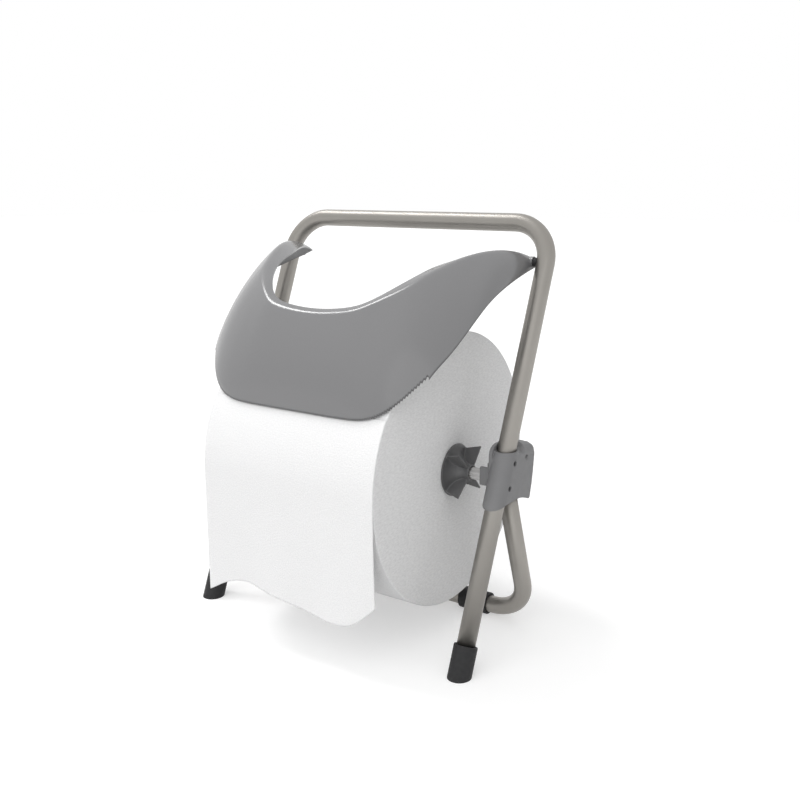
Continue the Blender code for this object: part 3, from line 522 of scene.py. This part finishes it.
# Core: the tube that the paper is wound on, of brown board wound in a spiral and glued. The plugs'
# spigots fill its ends, so its rim shows only once they are pulled out.

core_board = new_finish("wound_board", (0.45, 0.36, 0.25), 0.85)
vary_colour(core_board, grain(core_board, 0.0008, (6, 1, 1)), (0.40, 0.31, 0.21), (0.48, 0.39, 0.28))
relief(core_board, grain(core_board, 0.0005), 0.00004)


def refinished(name, finish):
    """Gives a solid that shows as it is a better finish."""
    solids[name].data.materials.clear()
    solids[name].data.materials.append(finish)


refinished("cardboard_core", core_board)


# Roll: soft white tissue wound in hundreds of layers. Their edges stand a little proud of each
# other on the ends, and the outside has a fine embossed pattern.

roll_radius = 0.153
roll_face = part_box("paper_roll")[1].x
roll_sides = 240
core_outside = 0.0278
edge_softness = 0.0010
wound_rings = 70
ring_unevenness = 0.00016
layer_grain = 0.0016
embossed_white = new_finish("embossed_white", (0.86, 0.86, 0.862), 0.95, gloss=0.15)
relief(embossed_white, grain(embossed_white, 0.0016, detail=1), 0.00035)
relief(embossed_white, grain(embossed_white, 0.0005, detail=2), 0.00008)
vary_colour(embossed_white, grain(embossed_white, 0.0014, detail=2), (0.82, 0.82, 0.825),
            (0.92, 0.92, 0.92))

layered_white = new_finish("layered_white", (0.87, 0.87, 0.87), 1.0, gloss=0.1)
tree = layered_white.node_tree
place = tree.nodes.new("ShaderNodeTexCoord")
centred = tree.nodes.new("ShaderNodeMapping")
centred.inputs["Location"].default_value = (0, -roll_axis.y, -roll_axis.z)
flattened = tree.nodes.new("ShaderNodeVectorMath")
flattened.operation = 'MULTIPLY'
flattened.inputs[1].default_value = (0, 1, 1)
reach = tree.nodes.new("ShaderNodeVectorMath")
reach.operation = 'LENGTH'
layers = tree.nodes.new("ShaderNodeTexNoise")
layers.noise_dimensions = '1D'
layers.inputs["Scale"].default_value = 1 / layer_grain
layers.inputs["Detail"].default_value = 2
tree.links.new(place.outputs["Object"], centred.inputs["Vector"])
tree.links.new(centred.outputs["Vector"], flattened.inputs[0])
tree.links.new(flattened.outputs["Vector"], reach.inputs[0])
tree.links.new(reach.outputs["Value"], layers.inputs["W"])
relief(layered_white, layers.outputs["Fac"], 0.00012)
relief(layered_white, grain(layered_white, 0.0012, detail=3), 0.0004)
vary_colour(layered_white, grain(layered_white, layer_grain, (1, 2.8, 1), detail=2), (0.81, 0.81, 0.813),
            (0.92, 0.92, 0.92))

ring_offsets = np.random.default_rng(7).uniform(0, ring_unevenness, wound_rings)
layered_width = roll_radius - edge_softness - core_outside
end_profile = [(core_outside + layered_width * ring / (wound_rings - 1), roll_face - offset)
               for ring, offset in enumerate(ring_offsets)]
soft_edge = [(roll_radius - 0.0003, roll_face - 0.0003), (roll_radius, roll_face - edge_softness)]
half_profile = end_profile + soft_edge
roll = lathed(half_profile + [(radius, -height) for radius, height in reversed(half_profile)], roll_sides)
roll.transform(Matrix.Translation(roll_axis) @ Matrix.Rotation(math.pi / 2, 4, 'Y'))
wound_roll = fitted("wound_roll", roll, layered_white, "white_paper", "spindle", "paper_roll", sharp=50)
wound_roll.data.materials.append(embossed_white)
for face in wound_roll.data.polygons:
    face.material_index = 1 if abs(face.normal.x) < 0.5 else 0


# Hanging sheet: the roll's tail, one tissue thick. It leaves the roll under the cover, follows it
# round, then falls straight with a few soft folds to a hem that was torn unevenly.

sheet_thickness = 0.0004
sheet_hang = 0.140
sheet_fold = 0.0035
sheet_folds = 2.5
sheet_gap = 0.0003
sheet_columns = 132
sheet_rows = 120
tear_angle = 150.9
sheet_tuck = 3
tear_turn = math.radians(180 - tear_angle + sheet_tuck)
sheet_radius = roll_radius + sheet_gap + sheet_thickness
hem_drops = (1.035, 0.925, 0.885, 0.915, 0.95, 0.98, 0.999, 0.965, 0.79)


def through(values, share):
    """Value on a smooth curve through evenly spaced ones, at a share of the way from first to last."""
    values = np.array(values, float)
    spot = min(max(share, 0), 1) * (len(values) - 1)
    index = min(int(spot), len(values) - 2)
    line = np.concatenate((2 * values[:1] - values[1:2], values, 2 * values[-1:] - values[-2:-1]))
    first, second, third, fourth = line[index:index + 4]
    part = spot - index
    return (second + part * (third - first) / 2
            + part ** 2 * (2 * first - 5 * second + 4 * third - fourth) / 2
            + part ** 3 * (3 * second - first - 3 * third + fourth) / 2)


arc_length = sheet_radius * tear_turn
sheet = bmesh.new()
bmesh.ops.create_grid(sheet, x_segments=sheet_columns, y_segments=sheet_rows, size=1)
uvs = sheet.loops.layers.uv.new("paper")
for face in sheet.faces:
    for corner in face.loops:
        corner[uvs].uv = (corner.vert.co.x * roll_face, corner.vert.co.y * (arc_length + sheet_hang) / 2)
for vert in sheet.verts:
    across = vert.co.x
    drop = sheet_hang * through(hem_drops, (across + 1) / 2)
    down = (1 - vert.co.y) / 2 * (arc_length + drop)
    if down < arc_length:
        turn = tear_turn - down / sheet_radius
        vert.co = (roll_face * across, -sheet_radius * math.cos(turn), sheet_radius * math.sin(turn))
    else:
        fall = (down - arc_length) / drop
        fold = sheet_fold * fall ** 2 * (1 - math.cos(sheet_folds * math.pi * (across + 1))) / 2
        vert.co = (roll_face * across, fold - sheet_radius, arc_length - down)
bmesh.ops.recalc_face_normals(sheet, faces=sheet.faces)
sheet.transform(Matrix.Translation(roll_axis))
sheet_white = new_finish("sheet_white", (0.88, 0.88, 0.882), 0.95, gloss=0.15)
relief(sheet_white, grain(sheet_white, 0.0016, detail=1, source="UV"), 0.00035)
relief(sheet_white, grain(sheet_white, 0.0005, detail=2, source="UV"), 0.00008)
vary_colour(sheet_white, grain(sheet_white, 0.0014, detail=2, source="UV"), (0.83, 0.83, 0.835),
            (0.93, 0.93, 0.93))
tail = fitted("tissue_tail", sheet, sheet_white, "white_paper", "stand", "hanging_sheet")
tail_wall = tail.modifiers.new("Tissue", 'SOLIDIFY')
tail_wall.thickness = sheet_thickness
tail_wall.offset = 0


# Cover: one injection moulding in mid-grey ABS. Its wall sweeps up from a toothed tear edge to a
# rolled rim, and narrows at each side to a horn that is closed at its end to a round tip, with an
# ear inside that turns on a pin.

cover_wall = 0.0024
edge_stations = (
    (0.0000, -0.1366, 0.2692), (0.0399, -0.1366, 0.2692), (0.0692, -0.1366, 0.2695),
    (0.0873, -0.1360, 0.2707), (0.1030, -0.1336, 0.2753), (0.1162, -0.1284, 0.2833),
    (0.1277, -0.1204, 0.2943), (0.1381, -0.1096, 0.3075), (0.1483, -0.0966, 0.3209),
    (0.1559, -0.0797, 0.3356), (0.1615, -0.0574, 0.3555), (0.1653, -0.0274, 0.3794),
    (0.1653, 0.0086, 0.3937), (0.1645, 0.0455, 0.4034), (0.1641, 0.0731, 0.4095),
    (0.1645, 0.0892, 0.4125))
crease_stations = (
    (0.0000, -0.1074, 0.3697), (0.0399, -0.1058, 0.3728), (0.0593, -0.1024, 0.3772),
    (0.0717, -0.0944, 0.3834), (0.0832, -0.0857, 0.3899), (0.0931, -0.0768, 0.3957),
    (0.1014, -0.0680, 0.4012), (0.1096, -0.0534, 0.4098), (0.1173, -0.0365, 0.4174),
    (0.1261, -0.0174, 0.4250), (0.1348, 0.0026, 0.4305), (0.1430, 0.0225, 0.4332),
    (0.1503, 0.0432, 0.4329), (0.1557, 0.0647, 0.4295), (0.1585, 0.0816, 0.4236),
    (0.1602, 0.0923, 0.4187))
rim_stations = (
    (0.0000, -0.0992, 0.3722), (0.0386, -0.0987, 0.3755), (0.0569, -0.0934, 0.3801),
    (0.0667, -0.0865, 0.3853), (0.0758, -0.0780, 0.3914), (0.0840, -0.0680, 0.3980),
    (0.0906, -0.0580, 0.4037), (0.0976, -0.0442, 0.4104), (0.1025, -0.0289, 0.4159),
    (0.1079, -0.0089, 0.4204), (0.1162, 0.0118, 0.4237), (0.1269, 0.0325, 0.4255),
    (0.1384, 0.0524, 0.4249), (0.1475, 0.0700, 0.4225), (0.1533, 0.0838, 0.4190),
    (0.1566, 0.0915, 0.4159))
bulges = (0.0080, 0.0080, 0.0081, 0.0084, 0.0089, 0.0090, 0.0089, 0.0084, 0.0073, 0.0061, 0.0052, 0.0049,
          0.0043, 0.0034, 0.0021, 0.0012)
last_station = len(edge_stations) - 1
crease_rounding = 0.0055
horn_rounding = 0.0075
crease_pull = 0.85
horn_start = 3
horn_spread = 6
lip_to_rim = 0.7
lip_to_wall = 0.4
thin_stations = 4
tangent_step = 0.05
tooth_pitch = 0.0027
wing_tooth_pitch = 0.0045
tooth_flank = 0.05
even_length = 0.075
toothed_length = 0.170
edge_step = 0.0028
step_fade = 0.020
chamfer_depth = 0.0013
tip_round = 0.005
wall_rise = 0.0016
wall_rows = 22
crease_rows = 8
rim_rows = 4
rows = 2 + wall_rows + crease_rows + rim_rows
plain_columns = 80
plain_gap = 0.0002
rail_samples = 601
thinnest_wall = 0.45


def along_rail(rail, station):
    """Point on a smooth rail by the stations. The rail runs on as its mirror image past the middle."""
    rail = np.array(rail)
    index = min(int(station), last_station - 1)
    before = rail[index - 1] if index else rail[1] * (-1, 1, 1)
    after = rail[index + 2] if index + 2 <= last_station else 2 * rail[-1] - rail[-2]
    part = station - index
    return (before * (1 - part) ** 3 + rail[index] * (3 * part ** 3 - 6 * part ** 2 + 4)
            + rail[index + 1] * (1 + 3 * part + 3 * part ** 2 - 3 * part ** 3) + after * part ** 3) / 6


def cover_section(station, lift):
    """Points up the cover's outer face at a station: the lower edge, lifted, the crease and the rim."""
    edge = along_rail(edge_stations, station)
    crease = along_rail(crease_stations, station)
    rim = along_rail(rim_stations, station)
    ahead = along_rail(edge_stations, min(station + tangent_step, last_station))
    behind = edge * (-1, 1, 1)
    if station > tangent_step:
        behind = along_rail(edge_stations, station - tangent_step)
    tangent = ahead - behind if station > 0 else np.array((1, 0, 0))
    chord = crease - edge
    length = np.linalg.norm(chord)
    outward = np.cross(tangent, chord)
    outward /= np.linalg.norm(outward)
    bulge = through(bulges, station / last_station)
    on_horn = min(1, max(0, (station - horn_start) / horn_spread))
    lip = crease_rounding + (horn_rounding - crease_rounding) * on_horn
    lip = min(lip, lip_to_rim * np.linalg.norm(rim - crease), lip_to_wall * length)
    wall_end = 1 - lip / length
    shares = [lift / length, (wall_rise + lift) / length]
    shares += [shares[1] + (wall_end - shares[1]) * row / wall_rows for row in range(1, wall_rows + 1)]
    points = [edge + chord * share + outward * bulge * 4 * share * (1 - share) for share in shares]
    points[0] = points[0] - outward * chamfer_depth * min(1, (last_station - station) / thin_stations)
    leaving = crease + (rim - crease) / np.linalg.norm(rim - crease) * lip
    start = points[-1]
    start_pull = start + (crease - start) * crease_pull
    leaving_pull = leaving + (crease - leaving) * crease_pull
    for row in range(1, crease_rows + 1):
        share = row / crease_rows
        points.append(start * (1 - share) ** 3 + start_pull * 3 * share * (1 - share) ** 2
                      + leaving_pull * 3 * share ** 2 * (1 - share) + leaving * share ** 3)
    for row in range(1, rim_rows + 1):
        points.append(leaving + (rim - leaving) * row / rim_rows)
    return points


fine_stations = np.linspace(0, last_station, rail_samples)
fine_edge = np.array([along_rail(edge_stations, station) for station in fine_stations])
edge_lengths = np.concatenate(((0,), np.cumsum(np.linalg.norm(np.diff(fine_edge, axis=0), axis=1))))
columns = [(0.0, 0.0)]
toothed_end = 0
while toothed_end < toothed_length:
    up_wing = max(0, toothed_end - even_length) / (toothed_length - even_length)
    pitch = tooth_pitch + (wing_tooth_pitch - tooth_pitch) * up_wing ** 2
    columns += [(toothed_end + pitch * tooth_flank, 0), (toothed_end + pitch * 0.5, pitch / 2),
                (toothed_end + pitch * (1 - tooth_flank), 0)]
    toothed_end += pitch
for length in np.linspace(toothed_end + plain_gap, edge_lengths[-1] - tip_round, plain_columns):
    columns.append((length, -edge_step * max(0, 1 - (length - toothed_end) / step_fade) ** 2))
cover = bmesh.new()
bmesh.ops.create_grid(cover, x_segments=len(columns) - 1, y_segments=rows - 1, size=1)
sections = []
for length, lift in columns:
    station = float(np.interp(length, edge_lengths, fine_stations))
    sections.append((station, cover_section(station, lift)))
# Painted shade: the lowest row, the chamfer along the tear edge, takes the darker grey.
for face in cover.faces:
    face.material_index = 1 if (face.calc_center_median().y + 1) / 2 * (rows - 1) < 1 else 0
weights = cover.verts.layers.deform.verify()
for vert in cover.verts:
    column = round((vert.co.x + 1) / 2 * (len(columns) - 1))
    row = round((vert.co.y + 1) / 2 * (rows - 1))
    station, points = sections[column]
    vert.co = points[row]
    vert.co.x = 0 if column == 0 else vert.co.x
    vert[weights][0] = min(1, (last_station - station) / thin_stations) * (row > 0)
bmesh.ops.mirror(cover, geom=everything(cover), axis='X', merge_dist=same_middle)
bmesh.ops.remove_doubles(cover, verts=cover.verts, dist=same_spot)
bmesh.ops.recalc_face_normals(cover, faces=cover.faces)
outermost = max(cover.faces, key=lambda face: -face.calc_center_median().y)
if outermost.normal.y > 0:
    bmesh.ops.reverse_faces(cover, faces=cover.faces)

smooth_grey = new_finish("smooth_grey", (0.188, 0.188, 0.192), 0.2, gloss=0.8)
relief(smooth_grey, grain(smooth_grey, 0.0015, detail=1), 0.000002)
vary_roughness(smooth_grey, grain(smooth_grey, 0.12, detail=0), 0.195, 0.205)
vary_colour(smooth_grey, grain(smooth_grey, 0.0015, detail=1), (0.186, 0.186, 0.19), (0.19, 0.19, 0.194))
# Painted shade: a darker grey for the chamfered band along the toothed tear edge and for the web that
# closes each horn's end, standing in for the shade that falls there.
painted_shade_grey = new_finish("painted_shade_grey", (0.13, 0.13, 0.132), 0.6)
vary_roughness(painted_shade_grey, grain(painted_shade_grey, 0.002), 0.5, 0.65)
vary_colour(painted_shade_grey, grain(painted_shade_grey, 0.004), (0.115, 0.115, 0.117), (0.145, 0.145, 0.147))
bonnet = fitted("bonnet", cover, smooth_grey, "cover_grey_plastic", "cover", "cover")
bonnet.data.materials.append(painted_shade_grey)
bonnet.vertex_groups.new(name="full_wall")
shell = bonnet.modifiers.new("Moulded wall", 'SOLIDIFY')
shell.thickness = cover_wall
shell.offset = -1
shell.vertex_group = "full_wall"
shell.thickness_vertex_group = thinnest_wall

pivot = Vector((0, 0.076938, 0.417))
ear_face = 0.1648
ear_thickness = 0.0042
ear_radius = 0.0062
hole_bottom = ear_face - 0.0032
hole_radius = 0.0028
solid_horn = 0.125
root_taper = 0.020
root_size = 0.3
horn_fill = 0.97
horn_columns = 30
tip_columns = 10
disc_sides = 40


def pivot_disc(side, near, far, radius):
    """Disc on the pivot line between two distances from the middle."""
    disc = bmesh.new()
    bmesh.ops.create_cone(disc, cap_ends=True, segments=disc_sides, radius1=radius, radius2=radius,
                          depth=far - near,
                          matrix=Matrix.Translation((side * (near + far) / 2, pivot.y, pivot.z))
                          @ Matrix.Rotation(math.pi / 2, 4, 'Y'))
    return disc


def horn_end(side):
    """Solid end of a horn: closed sections from inside the hollow on to a round tip."""
    whole = edge_lengths[-1]
    tip = 1 - np.sin(np.linspace(0, 1.5, tip_columns)[1:])
    lengths = np.concatenate((np.linspace(whole - solid_horn, whole - tip_round, horn_columns),
                              whole - tip_round * tip))
    shape = bmesh.new()
    bmesh.ops.create_grid(shape, x_segments=len(lengths) - 1, y_segments=rows, size=1)
    # Painted shade: the last row, the web that closes the horn from rim to edge, takes the darker grey.
    for face in shape.faces:
        face.material_index = 1 if (face.calc_center_median().y + 1) / 2 * rows > rows - 1 else 0
    for vert in shape.verts:
        length = lengths[round((vert.co.x + 1) / 2 * (len(lengths) - 1))]
        points = cover_section(float(np.interp(length, edge_lengths, fine_stations)), 0)
        centre = (points[1] + points[1 + wall_rows + crease_rows // 2] + points[-1]) / 3
        point = points[round((vert.co.y + 1) / 2 * rows) % rows]
        past_round = max(0, 1 - (whole - length) / tip_round)
        size = horn_fill * math.sqrt(1 - past_round ** 2)
        size *= root_size + (1 - root_size) * min(1, (length - whole + solid_horn) / root_taper)
        vert.co = (centre + (point - centre) * size) * (side, 1, 1)
    bmesh.ops.remove_doubles(shape, verts=shape.verts, dist=same_spot)
    bmesh.ops.holes_fill(shape, edges=shape.edges, sides=0)
    bmesh.ops.triangulate(shape, faces=[face for face in shape.faces if len(face.verts) > 4])
    bmesh.ops.recalc_face_normals(shape, faces=shape.faces)
    return shape


def combined(base, *steps):
    """Mesh of an object after shapes are joined to it or cut from it."""
    for operation, tool_shape in steps:
        tool_mesh = bpy.data.meshes.new("tool")
        tool_shape.to_mesh(tool_mesh)
        tool_shape.free()
        step = base.modifiers.new(operation, 'BOOLEAN')
        step.operation = operation
        step.object = placed("tool", tool_mesh)
    bpy.context.view_layer.update()
    finished = bpy.data.meshes.new_from_object(base.evaluated_get(bpy.context.evaluated_depsgraph_get()))
    for step in list(base.modifiers):
        tool = getattr(step, "object", None)
        base.modifiers.remove(step)
        if tool:
            bpy.data.objects.remove(tool)
    return finished


def pin_hole(side):
    """Blind hole for a pivot pin, open to the outside."""
    return 'DIFFERENCE', pivot_disc(side, hole_bottom, leg_x, hole_radius)


whole_cover = bmesh.new()
whole_cover.from_mesh(combined(bonnet, pin_hole(1), pin_hole(-1)))
for side in (1, -1):
    end_mesh = bpy.data.meshes.new("horn_end")
    end_mesh.materials.append(smooth_grey)
    end_mesh.materials.append(painted_shade_grey)
    end_shape = horn_end(side)
    end_shape.to_mesh(end_mesh)
    end_shape.free()
    end = placed("horn_end", end_mesh)
    ear = pivot_disc(side, ear_face - ear_thickness, ear_face, ear_radius)
    whole_cover.from_mesh(combined(end, ('UNION', ear), pin_hole(side)))
    bpy.data.objects.remove(end)
whole_cover.to_mesh(bonnet.data)
whole_cover.free()
bonnet.data.shade_smooth()
bonnet.data.set_sharp_from_angle(angle=math.radians(35))


# Pivots: a blackened stud pressed in each front leg, on which the cover's ear snaps, with a rubber
# bush between them that holds the cover where it is put.

pin_radius = 0.0025
pin_edge = 0.0005
pin_sides = 32
for side, name in ((1, "right"), (-1, "left")):
    low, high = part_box(name + "_pivot_pin")
    pin_length = high.x - low.x
    pin = lathed(((0, 0), (pin_radius, 0), (pin_radius, pin_length), (0, pin_length)), pin_sides,
                 closed=False)
    rounded(pin, pin_edge, 3)
    pin.transform(Matrix.Translation((low.x if side > 0 else high.x, pivot.y, pivot.z))
                  @ Matrix.Rotation(side * math.pi / 2, 4, 'Y'))
    fitted(name + "_hinge_pin", pin, blackened, "screw_dark_steel", "stand", name + "_pivot_pin")
    refinished(name + "_pivot_bush", black_rubber)


# Room: a pale floor that runs on to a white background, wide lamps from the front, the right and
# above, and the camera.

floor_glow = 0.42
floor_half = 12
world_light = 0.37
world_shown = 1.0


def either_of(tree, first, second):
    """The greater of two values, which is 1 where either kind of ray is meant."""
    greater = tree.nodes.new("ShaderNodeMath")
    greater.operation = 'MAXIMUM'
    tree.links.new(first, greater.inputs[0])
    tree.links.new(second, greater.inputs[1])
    return greater.outputs["Value"]


floor_finish = new_finish("pale_floor", (0.70, 0.70, 0.70), 0.9, gloss=0.1)
tree = floor_finish.node_tree
path = tree.nodes.new("ShaderNodeLightPath").outputs
glow = tree.nodes.new("ShaderNodeEmission")
mixed = tree.nodes.new("ShaderNodeAddShader")
seen = tree.nodes.new("ShaderNodeMath")
seen.operation = 'MULTIPLY'
seen.inputs[1].default_value = floor_glow
tree.links.new(either_of(tree, path["Is Camera Ray"], path["Is Glossy Ray"]), seen.inputs[0])
tree.links.new(seen.outputs["Value"], glow.inputs["Strength"])
tree.links.new(tree.nodes["Principled BSDF"].outputs["BSDF"], mixed.inputs[0])
tree.links.new(glow.outputs["Emission"], mixed.inputs[1])
tree.links.new(mixed.outputs["Shader"], tree.nodes["Material Output"].inputs["Surface"])
vary_colour(floor_finish, grain(floor_finish, 0.2, detail=2), (0.695, 0.695, 0.695), (0.705, 0.705, 0.705))
ground = bmesh.new()
bmesh.ops.create_grid(ground, x_segments=1, y_segments=1, size=floor_half)
ground_mesh = bpy.data.meshes.new("floor")
ground.to_mesh(ground_mesh)
ground.free()
ground_mesh.materials.append(floor_finish)
placed("floor", ground_mesh)

world = bpy.data.worlds.new("white_room")
world.use_nodes = True
bpy.context.scene.world = world
tree = world.node_tree
path = tree.nodes.new("ShaderNodeLightPath").outputs
background = tree.nodes["Background"]
background.inputs["Color"].default_value = (1, 1, 1, 1)
strength = tree.nodes.new("ShaderNodeMapRange")
strength.inputs["To Min"].default_value = world_light
strength.inputs["To Max"].default_value = world_shown
straight_on = either_of(tree, path["Is Camera Ray"], path["Is Transmission Ray"])
tree.links.new(either_of(tree, straight_on, path["Is Glossy Ray"]), strength.inputs["Value"])
tree.links.new(strength.outputs["Result"], background.inputs["Strength"])


def wide_sun(name, place, spread, strength, seen_in_gloss):
    """Even light that comes from a place's direction, as from a large lamp a long way off."""
    data = bpy.data.lights.new(name, 'SUN')
    data.angle = math.radians(spread)
    data.energy = strength
    lamp = placed(name, data)
    lamp.rotation_euler = Vector(place).to_track_quat('Z', 'Y').to_euler()
    lamp.visible_glossy = seen_in_gloss


wide_sun("front_lamp", (-0.3, -1.6, 1.0), 60, 0.85, False)
wide_sun("sky_lamp", (0.0, -0.5, 1.6), 90, 0.9, False)
wide_sun("right_lamp", (1.2, -0.6, 0.8), 90, 0.3, False)
wide_sun("top_lamp", (-0.56, 0.0, 0.83), 19, 0.9, True)
wide_sun("fill_lamp", (0.6, -1.2, 0.4), 50, 0.2, True)

camera_data = bpy.data.cameras.new("camera")
camera_data.sensor_width = 36
camera_data.lens = 43.595
camera_data.shift_x = 0.015019
camera_data.shift_y = 0.021609
camera = placed("camera", camera_data)
camera.location = (0.64806, -0.87997, 0.50144)
camera.rotation_euler = (math.radians(76.352), 0, math.radians(35.287))
bpy.context.scene.camera = camera
bpy.context.scene.view_settings.view_transform = 'Standard'
